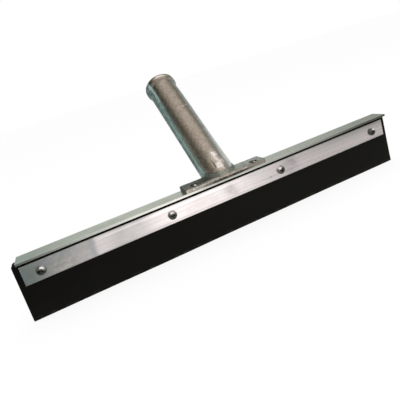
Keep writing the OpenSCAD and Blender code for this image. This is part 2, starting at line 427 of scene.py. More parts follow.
drawn = satin.noise(1500, (0.01, 1, 1), 3.0, 0.6)
cloud = satin.step(satin.noise(60, detail=5.0, rough=0.62), 0.35, 0.7)
warm = satin.step(satin.noise(150, detail=3.0), 0.4, 0.62)
pits = satin.step(satin.noise(700, detail=1.0), 0.68, 0.78)
lip = 1 - satin.rise(y, lip_face + 0.05, lip_face + 0.4)
polished = lip * satin.band(x, (-170, -70), (-75, 10))
# The lip is darker towards the ends, and a band of painted shade lies on it below the socket.
dark_ends = 0.55 - 0.5 * satin.rise(x, -225, -120) + 0.9 * satin.rise(x, 70, 200)
lip_dark_and_shade = lip * (dark_ends + 0.3 * satin.band(x, (-45, -10), (2, 22)))
# Painted shade: the lip's top darkened where the socket's plate sits on it.
socket_shade = lip * satin.band(x, (-34, -14), (14, 40)) * satin.rise(z, angle_top - 0.8, angle_top - 0.2)
satin_aluminium = satin.lay(
    base_color=satin.coats(
        satin.blend(drawn, (0.62, 0.655, 0.61), (0.77, 0.785, 0.735)),
        (0.6 * (1 - satin.rise(x, -225, -60)), (0.65, 0.74, 0.71)),
        (0.5 * satin.band(x, (10, 60), (110, 160)), (0.46, 0.475, 0.43)),
        (0.35 * satin.band(x, (-205, -185), (-95, -75)), (0.8, 0.82, 0.77)),
        (0.16 * warm, (0.74, 0.7, 0.62)),
        (0.35 * cloud, (0.52, 0.555, 0.52)),
        (0.5 * pits, (0.3, 0.31, 0.29)),
        (0.45 * polished, (0.95, 0.93, 0.88)),
        (lip_dark_and_shade, (0.11, 0.115, 0.1)),
        (0.85 * socket_shade, (0.05, 0.043, 0.034))),
    roughness=0.22 + 0.08 * cloud + 0.1 * drawn,
    normal=satin.bump(drawn + 0.5 * cloud, 0.008 * MM))
dress("angle_frame", satin_aluminium)

# %% [markdown]
# ## The brushed strip
# The clamp strip is brushed along its length, which smears reflections across the strip and leaves
# them sharp along it. Again this is stretched noise, at several widths: fine brushing, broader
# streaks, a few long lines and scratches. Rounder noise gives the smudges of use.

# %% Patterns of the strip
strip = Finish("brushed_aluminium", {"Metallic": 1.0})
x, _, z = strip.axes()
brush = strip.noise(2400, (0.004, 1, 1), 4.0, 0.7)
streak = strip.step(strip.noise(640, (0.01, 1, 1), 2.0, 0.6), 0.38, 0.66)
line = strip.step(strip.noise(1000, (0.005, 1, 1), 1.0), 0.58, 0.66) * strip.band(x, (-150, -90), (60, 160))
scratch = strip.step(strip.noise(520, (0.035, 1, 1), 1.0), 0.7, 0.76)
smudge = strip.step(strip.noise(42, (1, 1, 1.6), 5.0, 0.62), 0.42, 0.68)
smear = strip.step(strip.noise(260, (0.7, 1, 1), 4.0, 0.65), 0.4, 0.62)
speck = strip.step(strip.noise(800, detail=3.0), 0.4, 0.65)
cool = strip.step(strip.noise(110, detail=3.0), 0.42, 0.62)
hue = strip.step(strip.noise(75, detail=2.0), 0.42, 0.6)
print("the strip's patterns have", len(strip.tree.nodes), "nodes")

# %% [markdown]
# Other marks have their own places. The left end carries a painted reflection of something darker,
# up to a soft line a hand's width in, and the metal is greyed a little beyond it. Two thumbs have
# smudged the face. Painted shade darkens its edges, a faint line near the bottom and, under the
# angle's lip, the right end. A painted sheen lies along the top of its left half, and one small
# dent is bumped and painted darker.

# %% Places on the strip
strip_low, strip_high = box_of("clamp_strip")
face, bottom, top = strip_low[1], strip_low[2], strip_high[2]
# Painted reflection of something darker on the left end, up to a soft, wavy line.
painted_reflection_zone = 1 - strip.rise(x + 5 * MM * strip.noise(90, detail=2.0), -153, -147.5)
corner_end = 1 - strip.rise(x, -220, -188)
pale_end = strip.band(x, (-178, -168), (-160, -154))
cool_end = strip.band(x, (-161, -157), (-151, -149))
greyed_beyond = strip.band(x, (-150, -126), (-104, -80)) * (0.8 + 0.2 * smudge)
thumbs = 1.3 * strip.near((3, face, 47), 2, 13) + 1.3 * strip.near((82, face, 50), 3, 17)
# Painted shade along the top and bottom edges.
edge_shade = 1 - strip.band(z, (bottom, bottom + 2.4), (top - 1.6, top - 0.2))
# A painted sheen along the top of the left half.
painted_sheen = strip.band(z, (top - 5, top - 3.6), (top - 2.8, top - 1.6)) * strip.band(x, (-155, -140), (-10, 60))
# A faint dark line near the bottom: painted shade.
low_dark_line = strip.band(z, (bottom + 1.6, bottom + 2.1), (bottom + 2.7, bottom + 3.2))
low_dark_line = low_dark_line * strip.band(x, (-120, -80), (20, 60))
under_lip = strip.rise(z, top - 11.2, top - 1.2) * strip.rise(x, 40, 190)
# A small dent: bumped, and painted darker as its shade.
dent = strip.near((54.5, face, 44.1), 0.7, 1.6)
print("the strip's face in mm: y", face.round(2), "z", bottom.round(2), "to", top.round(2))

# %% [markdown]
# The coats go on in this order: bright metal with its painted sheen, the painted reflection on the
# left end over it, then scratches, the dent, the low line and long lines, the grey beyond the left
# end, painted shade at the edges and under the lip, and smudges.

# %% Strip finish
bright = strip.coats(
    strip.blend(brush, (0.77, 0.72, 0.715), (1.0, 0.965, 0.955)),
    (0.2 * cool, (0.8, 0.84, 0.87)),
    (0.34 * streak, (0.62, 0.585, 0.585)),
    (0.6 * painted_sheen, (1.0, 0.98, 0.97)))
# The colours of the painted reflection on the left end.
painted_reflection_colour = strip.coats(
    (0.62, 0.61, 0.575),
    (smudge, strip.blend(hue, (0.36, 0.4, 0.37), (0.38, 0.42, 0.45))),
    (0.62 * corner_end, strip.blend(hue, (0.11, 0.26, 0.21), (0.17, 0.31, 0.385))),
    (0.42 * speck, (0.24, 0.25, 0.24)),
    (0.36 * smear, (0.3, 0.31, 0.3)),
    (0.4 * pale_end, (0.66, 0.64, 0.615)),
    (0.5 * cool_end, (0.42, 0.45, 0.49)))
brushed_aluminium = strip.lay(
    base_color=strip.coats(
        bright,
        (0.88 * painted_reflection_zone, painted_reflection_colour),
        (0.3 * scratch + 0.6 * dent + 0.35 * low_dark_line + 0.25 * line, (0.33, 0.31, 0.3)),
        (greyed_beyond * (0.8 - 0.45 * painted_sheen), (0.52, 0.515, 0.51)),
        (0.42 * edge_shade + 0.5 * under_lip, (0.33, 0.335, 0.295)),
        (0.16 * smudge + thumbs * (0.25 + 0.35 * smudge), (0.46, 0.44, 0.45))),
    roughness=0.2 + 0.12 * brush + 0.08 * smudge + 0.12 * painted_reflection_zone,
    normal=strip.bump(brush - 1.5 * dent, 0.012 * MM))
dress("clamp_strip", brushed_aluminium)

# %% [markdown]
# ## Cast aluminium
# The socket is sand cast and tumbled. Its skin is mottled and brown in front, where hands reach it,
# green-grey on the left flank, partly a painted reflection, plain grey behind, and lighter on the
# right, which is a painted reflection of the white room. It could be painted over a UV map. Instead
# its points carry four marks, worked out with the shape: `turned` is how far round from the front a
# point is, in degrees, `right` how much it is lightened, `rub` how bright it is rubbed
# and painted with highlights, and `grime` how dark it is with dirt and painted shade.

# %% Marks and grain of the casting
cast = Finish("cast_aluminium", {})
turned, right, rub, grime = [cast.mark(name) for name in ("turned", "right", "rub", "grime")]
mottle = cast.noise(150, detail=6.0, rough=0.68)
sand = cast.noise(430, detail=4.0, rough=0.66)
grain = cast.noise(1100, detail=3.0, rough=0.6)
tarnish = cast.step(mottle, 0.38, 0.7)
sandy = cast.step(sand, 0.36, 0.64)
speckle = cast.step(grain, 0.36, 0.64)
flank = cast.step(turned + 10 * mottle, 56.0, 70.0)
rear = cast.step(turned, 96.0, 132.0)
at_seam = turned + 3 * sand
seam_highlight = cast.step(at_seam, 60.0, 65.0) * (1 - cast.step(at_seam, 69.0, 76.0))
rub_and_highlight_patch = cast.step(rub + 1.7 * cast.noise(330, detail=5.0, rough=0.75), 1.2, 1.95)
print("the casting's marks and grain have", len(cast.tree.nodes), "nodes")

# %% [markdown]
# Clean metal and stained metal are two colours at each place, and the soil that mottle, sand and
# speckle leave chooses between them. The mould's seam with its painted highlight, the rubbed places
# with painted highlights, and the dirt and painted shade lie on top.

# %% Socket finish
brown = cast.coats(
    # The middle of the front stays pinker, the hue of the painted highlight there.
    (0.415, 0.36, 0.322),
    (cast.step(turned, 4.0, 24.0), (0.405, 0.35, 0.287)),
    (cast.step(right, 0.0, 0.4), (0.38, 0.375, 0.345)))
clean = cast.coats(
    brown,
    # The left flank's green-grey is partly a painted reflection.
    (flank, cast.blend(rear, (0.415, 0.51, 0.485), (0.43, 0.45, 0.435))),
    # Painted reflection of the white room on the right side and on the pale spots.
    (cast.step(right, 0.4, 1.15), (0.93, 0.94, 0.91)))
stained = cast.coats(
    (0.19, 0.16, 0.125),
    (flank, cast.blend(rear, (0.07, 0.115, 0.11), (0.16, 0.165, 0.155))))
soil = (0.22 + 0.4 * flank) * tarnish + 0.36 * sandy + 0.26 * speckle
left_soiled = 1 - 0.8 * cast.step(right, 0.75, 1.45)
cast_aluminium = cast.lay(
    base_color=cast.coats(
        clean,
        (soil * left_soiled, stained),
        # A painted highlight along the mould's seam.
        (0.7 * seam_highlight, (0.5, 0.6, 0.57)),
        # Rubbed places and painted highlights.
        (0.78 * rub_and_highlight_patch, (0.92, 0.85, 0.82)),
        # Dirt and painted shade.
        (grime * (0.7 + 0.55 * sandy), (0.035, 0.034, 0.026))),
    metallic=1 - 0.4 * flank * cast.step(right, 0.4, 1.0),
    roughness=0.3 + 0.1 * grain + 0.08 * tarnish,
    normal=cast.bump(0.5 * grain + sand + 0.25 * mottle, 0.12 * MM))

# %% [markdown]
# ## The socket's tube
# The tube leans back by fifty degrees and grows a little towards a bead at its mouth. It could be
# turned and then cut with booleans, but a casting's skin isn't that clean. So each column of a grid
# is a line up the tube: it starts where the plate cuts it off, follows the outside to the bead,
# turns over the mouth, and goes down the hole to its floor. The hole's axis and radius come from
# the record's mount, so a handle fits the render as it fits the solid.

# %% Sizes of the tube
bore = next(m for m in frame["record"]["mounts"] if m["name"] == "handle_bore")
bore_r, bore_long = bore["dims"]["r_mm"], bore["dims"]["length_mm"]
bore_floor, mouth_bevel = 20.0, 1.2
tube_r, tube_top_r, bead_r = 19.0, 19.3, 21.5
bead_long, bead_run, bead_round = 6.0, 7.5, 1.6
tube_long = bore_floor + bore_long + mouth_bevel
cone_long = tube_long - bead_long - bead_run
socket_low, socket_high = box_of("handle_socket")

axis = np.array(bore["axis"])
across = np.array([1.0, 0.0, 0.0])
facing = np.cross(axis, across)
facing *= np.sign(facing[2])
foot = np.array(bore["pos_m"]) / MM - axis * (bore_floor + bore_long / 2)
print("tube foot in mm:", foot.round(2), "lean:", round(math.degrees(math.acos(axis[2])), 1), "degrees")

# %% [markdown]
# What the mould leaves is added to the radius: ripples, a seam down each side, lumps near the foot
# and a slanting scar on the right of the front. Lumps and spots are bell curves on the unrolled
# tube. Each is a row of five numbers: its strength, its middle in degrees round from the front and
# in millimetres up from the foot, which the code calls `deg` and `up`, and its two half widths.

# %% Skin of the casting
FOOT_LUMPS = ((0.2, 3, 8, 8, 7), (0.22, 8, -7, 10, 5), (-0.35, -19, -5, 3, 5), (0.3, -12, -7, 4, 5))


def bell(away, wide, power=2):
    """A bell curve: e to minus a power of the distance in half widths. A power of 4 has a flat top."""
    return np.exp(-((away / wide) ** power))


def spots(deg, up, rows):
    """A sum of spots, each its strength times a bell curve round the tube and one up it."""
    total = 0.0
    for strength, at_deg, at_up, wide_deg, wide_up in rows:
        total = total + strength * bell(deg - at_deg, wide_deg) * bell(up - at_up, wide_up)
    return total


def seam_at(up):
    """The mould's seam, in degrees from the front: steady near the foot, then drifting forwards."""
    drift = 10.9 * (np.clip(up - 38, 0, 127) / 92) ** 1.8
    return 71.5 - drift + 0.8 * np.sin(up / 17.0) + 0.5 * np.sin(up / 6.3 + 1)


def scar_at(deg, up):
    """Height above the slanting scar, and how much of it runs here, from 0 to 1."""
    return up - 95.2 - 0.105 * deg, bell(deg - 20, 20, 4)


def casting_skin(deg, up):
    """In mm: sines of many lengths, a bell at the seams, lumps, and for the scar a ridge over a groove."""
    turn = np.radians(deg)
    ripple = (0.04 * np.sin(3 * turn + up / 9.0) * np.sin(up / 13.0 + 1.0)
              + 0.015 * np.sin(7 * turn - up / 5.5 + 0.4)
              + 0.02 * np.sin(11 * turn + up / 3.1)
              + 0.03 * np.sin(19 * turn - up / 1.7 + 2 * np.sin(up / 11))
              + 0.025 * np.sin(29 * turn + up / 1.2 + 3 * np.sin(5 * turn)))
    seams = 0.3 * bell(np.abs(deg) - seam_at(up), 1.8)
    above, runs = scar_at(deg, up)
    scar = runs * (0.3 * bell(above, 0.7) - 0.3 * bell(above + 1.5, 0.9))
    return ripple + seams + spots(deg, up, FOOT_LUMPS) + scar


# %% [markdown]
# The bead is an S-curve out, a short straight and a rounded lip. Below it the outside is a slight
# cone. The rows of all columns end at the same heights, so only the straight part is stretched to
# where the plate and its front edge cut the tube.

# %% Tube of the socket
def column(start, end, count):
    """Evenly spaced numbers, one in each row."""
    return np.linspace(start, end, count)[:, None]


def tube_surface(deg):
    """Rows from the foot to the hole's floor: point = foot + axis * height + radius * direction round.
    Gives the grid, the heights and the radii."""
    turn = np.radians(deg)
    out = np.sin(turn)[..., None] * across + np.cos(turn)[..., None] * facing
    start = np.maximum((socket_low[2] - foot[2] - tube_r * out[..., 2]) / axis[2],
                       (socket_low[1] - foot[1] - tube_r * out[..., 1]) / axis[1])
    up = start + column(0, 1, 190) * (cone_long - start)
    cone = tube_r + (tube_top_r - tube_r) * np.clip(up, 0, None) / cone_long
    fade = held((cone_long - up) / 12) * held((up - start) / 3)
    rise = column(0, 1, 12)[1:]
    lip = column(0, math.pi / 2, 8)[1:]
    mouth_down = np.array([[0.0], [0.35], [mouth_bevel]])
    mouth_out = np.array([[1.35], [0.85], [0.0]])
    rows = [(up, cone + casting_skin(deg, up) * fade),
            (cone_long + bead_run * rise, tube_top_r + (bead_r - tube_top_r) * rise**2 * (3 - 2 * rise)),
            (column(tube_long - bead_long + 0.6, tube_long - bead_round, 8), bead_r),
            (tube_long - bead_round * (1 - np.sin(lip)), bead_r - bead_round * (1 - np.cos(lip))),
            (tube_long - mouth_down, bore_r + mouth_out),
            (column(tube_long - 3, bore_floor, 16), bore_r),
            (column(bore_floor, bore_floor, 6), bore_r * column(0.95, 0.05, 6))]
    heights = np.concatenate([h + 0 * turn for h, r in rows])
    radii = np.concatenate([r + 0 * h + 0 * turn for h, r in rows])
    return foot + heights[..., None] * axis + radii[..., None] * out, heights, radii


tube_deg = np.linspace(-180, 180, 320, endpoint=False)[None, :]
tube_grid, tube_up, tube_out = tube_surface(tube_deg)
print("tube rows and columns:", tube_grid.shape[:2])

# %% [markdown]
# The lumps near the foot are rubbed bright and carry painted highlights, and the scar and the lip of
# the mouth are painted highlights. Painted shade darkens the foot, the crease under the bead, the
# bead's flanks and the hole; dirt lies in patches on the left flank.

# %% Marks on the tube
# Rubbed spots near the foot, with painted highlights.
RUBS_AND_HIGHLIGHTS = ((0.6, 2, 8, 13, 7), (0.6, -5, -10, 19, 6), (0.5, 6, -2, 27, 17), (-0.8, -19, -5, 3, 4),
        (0.35, 20, -5, 10, 4), (0.5, 8, 138, 8, 1.5), (0.5, 22, 146, 9, 2), (0.55, 30, 119, 11, 1.5))
# Painted reflection: two pale spots on the left flank.
PALE_SPOTS = ((0.95, -88, 1, 15, 7), (1.0, -56, 142, 10, 48))
# Painted shade at the foot and on the bead.
FOOT_SHADE = ((0.25, -46, 4, 11, 22), (0.3, -57, 10, 9, 24))
BEAD_SHADE = ((0.45, -96, tube_long - 6, 26, 6), (0.4, -46, tube_long - 7, 11, 9))
FLANK_DIRT = ((0.4, -82, 128, 11, 14), (0.5, -83, 27, 13, 11), (0.2, -92, 85, 12, 20))


def rub_and_highlight_at(deg, up):
    """Rubbed bright and painted highlights: spots near the foot, faint ones above, the scar and the lip."""
    above, runs = scar_at(deg, up)
    scar = 0.85 * runs * bell(above, 0.9)
    arc = held(1.3 - np.abs(up - tube_long + 5.0))
    lip = bell(deg - 2, 32, 4) * np.maximum(arc, 0.48 * (up > tube_long - 4.8))
    return np.clip(spots(deg, up, RUBS_AND_HIGHLIGHTS) + scar + 1.3 * lip, 0, 1.3)


def right_at(deg, up):
    """Painted reflection: a slope round from the front to the right, more near the foot, and two pale spots.
    """
    reach = (deg - 14 + 6 * held(1 - up / 80)) / 46
    side = held(reach) * held((150 - deg) / 40)
    return side * np.clip(1.75 - 0.0095 * up, 0.45, 1.75) + spots(deg, up, PALE_SPOTS)


def turned_at(deg, up):
    """Degrees from the front, stretched so that the left seam is at 66 and the right has no flank."""
    left = -66 * deg / seam_at(up)
    right = np.minimum(1.8 * deg, 56) + 1.6 * np.clip(deg - 110, 0, None)
    return np.where(deg < 0, left, right)


def grime_and_shade_at(deg, up, above_plate):
    """The worst of the painted shade in the crease under the bead, at the foot and on the bead's flank, with
    dirt patches added.
    """
    crease = 0.15 * bell(up - cone_long - 0.4 * bead_run, 2.5)
    at_foot = 0.4 * held(1 - np.abs(above_plate - 1.5) / 2.5) + spots(deg, up, FOOT_SHADE)
    return np.max([crease, at_foot, spots(deg, up, BEAD_SHADE)], 0) + spots(deg, up, FLANK_DIRT)


outside = tube_out > bore_r + 2
# Painted shade down the hole, darker deeper in.
hole_shade = np.clip((tube_long - 4 - tube_up) / 60, 0, 0.7) * (tube_out < bore_r + 0.1)
tube_grime_and_shade = grime_and_shade_at(tube_deg, tube_up, tube_grid[..., 2] - foot[2])
tube_marks = {"turned": turned_at(tube_deg, tube_up),
              "right": right_at(tube_deg, tube_up),
              "rub": rub_and_highlight_at(tube_deg, tube_up) * outside,
              "grime": np.where(outside, tube_grime_and_shade, hole_shade)}
print("the tube's grime goes up to", tube_marks["grime"].max().round(2))

# %% [markdown]
# ## The socket's plate
# The plate lies on the angle. A cube with two booleans would do for a flat one, but this has a
# cast skin and a hollow curve up to the tube. So its top is one sheet of points, a height for each
# place: flat, with a round pocket for each rivet head and that curve at the tube's foot. Its
# outline is drawn row by row, shorter where the corners are round.

# %% Top of the plate
rivets = [sum(box_of(node)) / 2 for node in ("socket_rivet_1", "socket_rivet_2")]
plate_tall, plate_back = 5.0, 6.5
plate_bevel, plate_corner = 0.8, 1.6
fillet_r = 3.0
pocket_r, pocket_deep, pocket_wall = 4.15, 1.6, 0.5


def foot_gap(x, y):
    """How far a place lies outside the oval in which the tube's wall meets the plate, in mm."""
    oval = np.hypot(x / tube_r, (y - foot[1]) * axis[2] / tube_r)
    return (oval - 1) * np.hypot(x, y - foot[1]) / np.maximum(oval, 1e-6)


def plate_top(x, y):
    """Height of the plate: pockets sunk round the rivets, and a quarter circle up to the foot's oval."""
    z = foot[2] + 0.06 * np.sin(x / 2.3 + y) * np.sin(y / 1.7) + 0.05 * np.sin(x / 5.1 - y / 3)
    curve = round_off(foot_gap(x, y), fillet_r)
    z = z + curve * held((y - socket_low[1] - plate_bevel) / 3)
    for rivet in rivets:
        wall = held((pocket_r - np.hypot(x - rivet[0], y - rivet[1])) / pocket_wall)
        z = z - pocket_deep * wall**2 * (3 - 2 * wall)
    return z


print("rivets in mm:", [rivet.round(2).tolist() for rivet in rivets])

# %% [markdown]
# The rim of that sheet is then carried out and down: three rows over a bevel, five rows down the
# sides, and one flat face below.

# %% Plate of the socket
def plate_surface():
    """The top sheet, its rim carried out and down over a bevel to the sides, and a flat bottom."""
    low, high, half = socket_low[1], plate_back, socket_high[0]
    y = column(low + plate_bevel, high - plate_bevel, 56)
    end = np.minimum(y - low, high - y)
    reach = half - plate_bevel - round_off(end - plate_bevel, plate_corner - plate_bevel)
    x = np.linspace(-1, 1, 260)[None, :] * reach
    y = y + 0 * x
    sheet = np.stack([x, y, plate_top(x, y)], -1)
    rows, columns = sheet.shape[:2]
    count = np.arange(rows * columns).reshape(rows, columns)
    rim = np.concatenate([count[0, :-1], count[:-1, -1], count[-1, :0:-1], count[:0:-1, 0]])
    edge = sheet.reshape(-1, 3)[rim]
    middle_x = np.clip(edge[:, 0], plate_corner - half, half - plate_corner)
    middle_y = np.clip(edge[:, 1], low + plate_corner, high - plate_corner)
    out = edge * (1, 1, 0) - np.stack([middle_x, middle_y, 0 * middle_x], -1)
    out /= np.linalg.norm(out, axis=1)[:, None]
    up = np.array([0.0, 0.0, 1.0])
    bend = np.radians([30, 60, 90])[:, None, None]
    over = edge + plate_bevel * (np.sin(bend) * out - (1 - np.cos(bend)) * up)
    side = over[-1] + np.linspace(0, 1, 6)[1:, None, None] * (socket_low[2] - over[-1, :, 2:]) * up
    band = np.concatenate([over, side])
    points = np.concatenate([sheet.reshape(-1, 3), band.reshape(-1, 3)])
    order = np.concatenate([rim, rows * columns + np.arange(len(band) * len(rim))])
    sides = order[quads(1 + len(band), len(rim), True)][:, ::-1]
    return points, [quads(rows, columns, False), sides, order[None, -len(rim):]]


plate_points, plate_sheets = plate_surface()
print("the plate has", len(plate_points), "points")

# %% [markdown]
# The plate carries the same four marks. Painted shade fills the rivets' pockets, lies beside the
# right rivet, darkens the sawn left end, the line where the plate meets the angle and the corner
# round the tube. The top has painted shade on the left and is lighter on the right, and the front's
# upper edge carries a painted highlight.

# %% Marks on the plate
x, y, z = plate_points.T
below_top = socket_low[2] + plate_tall - z
front = held((socket_low[1] + 1.0 - y) / 0.4)
from_rivet = np.min([np.hypot(x - rivet[0], y - rivet[1]) for rivet in rivets], 0)
# Painted shade: the rivets' pockets, beside the right rivet, under the front, the left end, the left of the
# top and round the tube.
pocket = 4.85 * np.clip(1.2 - from_rivet / 4.7, 0, 0.2) * (y > socket_low[1] + 1.3)
rivet_shade = 0.9 * bell(x - 34, 4) * bell(y + 12.5, 2.2) * held((1.7 - below_top) / 0.8)
contact_shade = 0.97 * held((below_top - 2.5) / 0.7) * bell(x - 2, 31, 4)
end_shade = held((np.abs(x) - socket_high[0] + 0.35) / 0.25) * np.where(x < 0, 1.4, 0.15)
left_top_shade = 0.62 * held((-12 - x) / 15) * held((1.3 - below_top) / 0.6)
tube_corner_shade = 0.45 * (1 - front) * held(1 - np.abs(foot_gap(x, y)) / 3.2)
# A painted highlight along the front's upper edge.
front_edge_highlight = 0.53 * front * held((below_top - 0.9) / 0.4) * np.clip((40 - x) / 15, 0.2, 1)
plate_marks = {"turned": 58 - 3 * front,
               "right": 0.68 * held((x - 8) / 10) * (1 - front),
               "rub": front_edge_highlight,
               "grime": np.max([pocket, rivet_shade, contact_shade, end_shade, left_top_shade, tube_corner_shade], 0)}
print("the plate's grime goes up to", plate_marks["grime"].max().round(2))

# %% [markdown]
# Tube and plate are one casting, so they are two skins of one piece. The two fans that close the
# tube's skin have a middle point each. These need marks too, and carry painted shade, like the hole.

# %% Casting
fan_marks = {"turned": [0, 0], "right": [0, 0], "rub": [0, 0], "grime": [0.7, 0.7]}
casting_marks = {name: np.concatenate([tube_marks[name].ravel(), fan_marks[name], plate_marks[name]])
                 for name in fan_marks}
tube_points, tube_sheets = skin(tube_grid)
make("socket_casting", [(tube_points * MM, tube_sheets), (plate_points * MM, plate_sheets)],
     ["handle_socket"], cast_aluminium, 50.0, casting_marks)

# %% [markdown]
# ## Zinc plate
# Screws, washers and nuts are zinc plated steel. The plating has a yellowish film, specks and, on
# the screws' heads, dirt and painted shade: their points carry a mark for it, and another for bare
# metal and painted highlights on the side where light falls. A plain grey metal would look new.

# %% Zinc finish
zinc = Finish("zinc_steel", {})
dirt, bared = [zinc.mark(name) for name in ("dirt", "bared")]
film = zinc.noise(260, detail=3.0)
speck = zinc.step(zinc.noise(1800, detail=2.0), 0.55, 0.75)
zinc_steel = zinc.lay(
    base_color=zinc.coats(
        zinc.blend(film, (0.4, 0.41, 0.36), (0.58, 0.58, 0.54)),
        (0.3 * speck, (0.25, 0.25, 0.22)),
        # Dirt and painted shade darken the heads; bare metal and painted highlights lie over them.
        (0.97 * dirt, (0.025, 0.028, 0.02)),
        (bared, (0.86, 0.81, 0.77))),
    metallic=1 - 0.6 * bared,
    roughness=0.16 + 0.12 * film + 0.1 * speck,
    normal=zinc.bump(speck, 0.01 * MM))
for k in range(1, 5):
    dress(f"plain_washer_{k}", zinc_steel)
    dress(f"clamp_nut_{k}", zinc_steel)

# %% [markdown]
# ## Screws
# The clamp screws have pan heads with a cross recess. A boolean could cut the recess and a Screw
# modifier wind the thread, but both leave ragged faces. So the screw is one grid of rings round its
# axis: over a dome less two slots at right angles, down the head's side and along the shank. Only
# the last turns of thread show behind the nut, cut as a helix.

# %% Shape of a screw
head_r, head_tall, head_dome_r, head_edge = 4.75, 3.6, 8.0, 0.45
recess_deep, recess_half_long, recess_half_wide, recess_wall = 2.0, 2.6, 0.78, 0.25
shank_r, thread_pitch, thread_deep, thread_long = 2.5, 0.8, 0.42, 6.0


def cross_recess(a, b):
    """Depth of the recess: two slots at right angles, deepest in the middle, with sloping walls."""
    def slot(along, over):
        wall = held((recess_half_wide - np.abs(over)) / recess_wall)
        return wall * np.sqrt(held(1 - np.abs(along) / recess_half_long))
    return recess_deep * np.maximum(slot(a, b), slot(b, a))


def screw_surface(turn, dome, sink, long):
    """Rings of radius r and height h round the screw: a dome less the recess and the edge's round, the
    head's side, the shank with a zigzag helix at its end, and a tip. The head's underside is at 0."""
    head = head_tall - round_off(head_dome_r - dome, head_dome_r) - sink - round_off(head_r - dome, head_edge)
    side = np.array([[1.2], [0.3], [0.0], [0.0]])
    side_r = np.array([[head_r], [head_r], [head_r - 0.15], [shank_r]])
    plain = long - thread_long
    down = np.concatenate([column(0.5, plain, 6), column(plain + 0.2, long - 0.5, 54)])
    phase = (down / thread_pitch + turn / (2 * math.pi)) % 1
    thread = shank_r - np.where(down > plain, thread_deep * np.abs(2 * phase - 1), 0)
    tip = np.array([[long - 0.1], [long]])
    tip_r = np.array([[1.95], [1.7]])
    heights = np.concatenate([h + 0 * turn for h in (head, side, -down, -tip)])
    radii = np.concatenate([r + 0 * turn for r in (dome, side_r, thread, tip_r)])
    return heights, radii


# %% [markdown]
# Each head was tightened to its own angle, and has bare metal and a painted highlight on its upper
# side, where light falls, with one small painted glint. The rest of it is dark with dirt and painted
# shade, most of all in the recess.

# %% Clamp screws
def screw_marks(turn, dome, sink, below, glint_deg):
    """Dirt and painted shade on the whole head, and a painted highlight: a lobe round one direction, near the
    edge, and a glint.
    """
    land = held(1 - sink / 0.35)
    lit = turn - math.radians(glint_deg)
    lobe = (0.5 + 0.5 * np.cos(lit)) ** 9
    # A small painted glint.
    glint_spot = np.exp(-((dome * np.cos(lit) - 2.3) ** 2 + (dome * np.sin(lit)) ** 2) / 0.6)
    bared = held(0.9 * land * bell(dome - 3.7, 1.4) * lobe + glint_spot)
    on_head = below >= 0
    return {"dirt": np.concatenate([1 - 0.1 * land, 0.95 * on_head]),
            "bared": np.concatenate([bared, 0.95 * on_head * lobe])}


turn = np.radians(np.linspace(0, 360, 96, endpoint=False))[None, :]
rounding = head_r - head_edge + head_edge * np.sin(np.radians([18, 36, 54, 72, 90]))
dome = np.concatenate([column(0.05, head_r - head_edge, 40), rounding[:, None]])
for k, (turned_deg, glint_deg) in enumerate(((28, 58), (4, 85), (9, 112), (40, 65)), 1):
    low, high = box_of(f"clamp_screw_{k}")
    middle = (low + high) / 2
    recess_turn = turn + math.radians(turned_deg)
    sink = cross_recess(dome * np.cos(recess_turn), dome * np.sin(recess_turn))
    heights, radii = screw_surface(turn, dome, sink, high[1] - low[1] - head_tall)
    marks = screw_marks(turn, dome, sink, heights[len(dome):], glint_deg)
    grid = np.stack([middle[0] + radii * np.cos(turn), low[1] + head_tall - heights,
                     middle[2] + radii * np.sin(turn)], -1)
    points, sheets = skin(grid)
    make(f"pan_head_screw_{k}", [(points * MM, sheets)], [f"clamp_screw_{k}"], zinc_steel, 35.0,
         {name: np.concatenate([values.ravel(), [0, 0]]) for name, values in marks.items()})

# %% [markdown]
# ## Spring washers and rivets
# The spring washers are plain dark steel, scaled from hardening. They and the rivets keep the
# frame's own solids, fine enough for pieces this small.

# %% Spring steel
steel = Finish("spring_steel", {"Metallic": 1.0})
scale_mark = steel.step(steel.noise(500, detail=4.0), 0.4, 0.7)
spring_steel = steel.lay(
    base_color=steel.blend(scale_mark, (0.36, 0.36, 0.35), (0.22, 0.21, 0.2)),
    roughness=0.34 + 0.16 * scale_mark,
    normal=steel.bump(scale_mark, 0.02 * MM))
for k in range(1, 5):
    dress(f"spring_washer_{k}", spring_steel)

# %% [markdown]
# The rivets are soft aluminium. Their heads were hammered in their pockets, so they are dimpled, and
# they are painted dark as shade. Each has a painted highlight on its right: within a distance of one
# place.

# %% Rivet aluminium
soft = Finish("rivet_aluminium", {})
hammer = soft.noise(650, detail=2.0)
rivet_top = box_of("socket_rivet_1")[1][2]
left_place, right_place = [(rivet[0] + 1.8, rivet[1] - 0.4, rivet_top - 0.5) for rivet in rivets]
# A painted highlight on the right of each rivet.
painted_highlight_spot = soft.near(left_place, 1.8, 2.8) + soft.near(right_place, 1.2, 2.3)
rivet_aluminium = soft.lay(
    base_color=soft.coats(
        # Painted dark, as shade in the pockets.
        (0.13, 0.125, 0.105),
        (hammer, (0.05, 0.047, 0.038)),
        (painted_highlight_spot, (0.97, 0.96, 0.93))),
    metallic=1 - 0.7 * painted_highlight_spot,
    roughness=0.16 + 0.14 * hammer,
    normal=soft.bump(hammer, 0.1 * MM))
for k in (1, 2):
    dress(f"socket_rivet_{k}", rivet_aluminium)

# %% [markdown]
# ## White floor and world
# The photograph has a plain white ground. More light would make the floor white and the metal too.
# So the floor is white to the camera and in reflections, and only there, which adds no light. It
# keeps some of its shaded self, and with it the soft shadow.

# %% Floor
def seen(recipe):
    """1 for rays that are looked along: from the camera, or mirrored or passed on by a piece."""
    rays = recipe.node("LightPath").socket.node.outputs
    ways = [Wire(recipe, rays[name]) for name in ("Is Camera Ray", "Is Glossy Ray", "Is Transmission Ray")]
    add = {"operation": "ADD", "use_clamp": True}
    return recipe.node("Math", add, {0: ways[0] + ways[1], 1: ways[2]})


